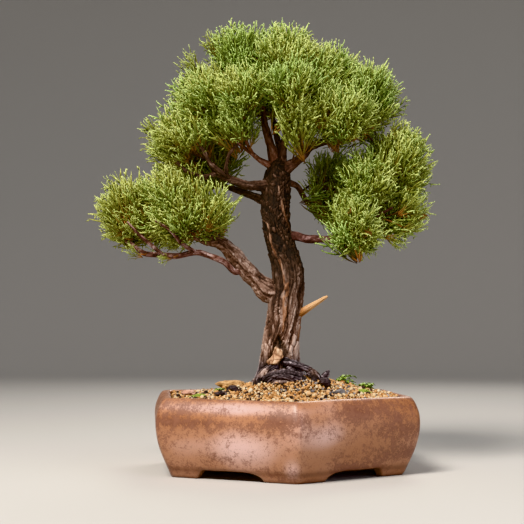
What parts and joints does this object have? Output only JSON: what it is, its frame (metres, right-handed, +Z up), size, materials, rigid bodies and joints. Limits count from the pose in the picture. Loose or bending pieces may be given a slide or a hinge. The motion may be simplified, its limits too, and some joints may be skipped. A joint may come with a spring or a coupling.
{
  "type": "bonsai tree in a pot",
  "caption": "Juniper bonsai with leaning trunk, layered foliage pads and a dead stub, in a footed hexagonal stoneware pot.",
  "frame": {"origin": "on the surface that the pot stands on, under the centre of the whole object's bounding box", "axes": "+Z up, -Y towards the viewer of the front, +X to the viewer's right"},
  "size_m": [0.3356, 0.2854, 0.4478],
  "materials": {
    "stoneware": "satin",
    "screen_plastic": "matte",
    "clip_wire": "satin",
    "soil": "matte",
    "bark": "matte",
    "dead_wood": "matte",
    "juniper_foliage": "matte",
    "tan_stone": "matte",
    "pink_stone": "matte",
    "grey_stone": "matte",
    "lava_stone": "matte",
    "moss": "matte",
    "weed_leaf": "satin"
  },
  "bodies": {
    "root": {"branch_back_left": "bark", "branch_back_right": "bark", "branch_inner_left": "bark", "branch_lower_left": "bark", "branch_lower_left_back": "bark", "branch_lower_left_under": "bark", "branch_mid_left": "bark", "branch_right": "bark", "branch_right_side": "bark", "branch_upper_left": "bark", "branch_upper_right": "bark", "dark_stone_front": "lava_stone", "dark_stone_left": "lava_stone", "dark_stone_right": "lava_stone", "drainage_screen_1": "screen_plastic", "drainage_screen_2": "screen_plastic", "drainage_screen_3": "screen_plastic", "foliage_crown_back": "juniper_foliage", "foliage_crown_back_right": "juniper_foliage", "foliage_crown_front": "juniper_foliage", "foliage_crown_front_left": "juniper_foliage", "foliage_crown_front_right": "juniper_foliage", "foliage_crown_right_end": "juniper_foliage", "foliage_crown_top": "juniper_foliage", "foliage_crown_top_left": "juniper_foliage", "foliage_crown_upper_right": "juniper_foliage", "foliage_inner_spray": "juniper_foliage", "foliage_lower_left_back": "juniper_foliage", "foliage_lower_left_inner": "juniper_foliage", "foliage_lower_left_middle": "juniper_foliage", "foliage_lower_left_outer": "juniper_foliage", "foliage_mid_left_back": "juniper_foliage", "foliage_mid_left_inner": "juniper_foliage", "foliage_mid_left_outer": "juniper_foliage", "foliage_right_back": "juniper_foliage", "foliage_right_inner_back": "juniper_foliage", "foliage_right_low": "juniper_foliage", "foliage_right_middle": "juniper_foliage", "foliage_right_outer_low": "juniper_foliage", "foliage_right_upper": "juniper_foliage", "foliage_upper_left": "juniper_foliage", "foliage_upper_left_back": "juniper_foliage", "grey_flat_stone": "grey_stone", "jin_dead_stub": "dead_wood", "leader_back": "bark", "leader_left": "bark", "leader_middle": "bark", "moss_left": "moss", "moss_right": "moss", "pink_pebble": "pink_stone", "pot": "stoneware", "screen_clip_1": "clip_wire", "screen_clip_2": "clip_wire", "screen_clip_3": "clip_wire", "soil": "soil", "tan_flat_stone": "tan_stone", "trunk": "bark", "weed_seedling_left": "weed_leaf", "weed_seedling_middle": "weed_leaf", "weed_seedling_right": "weed_leaf"}
  },
  "joints": []
}
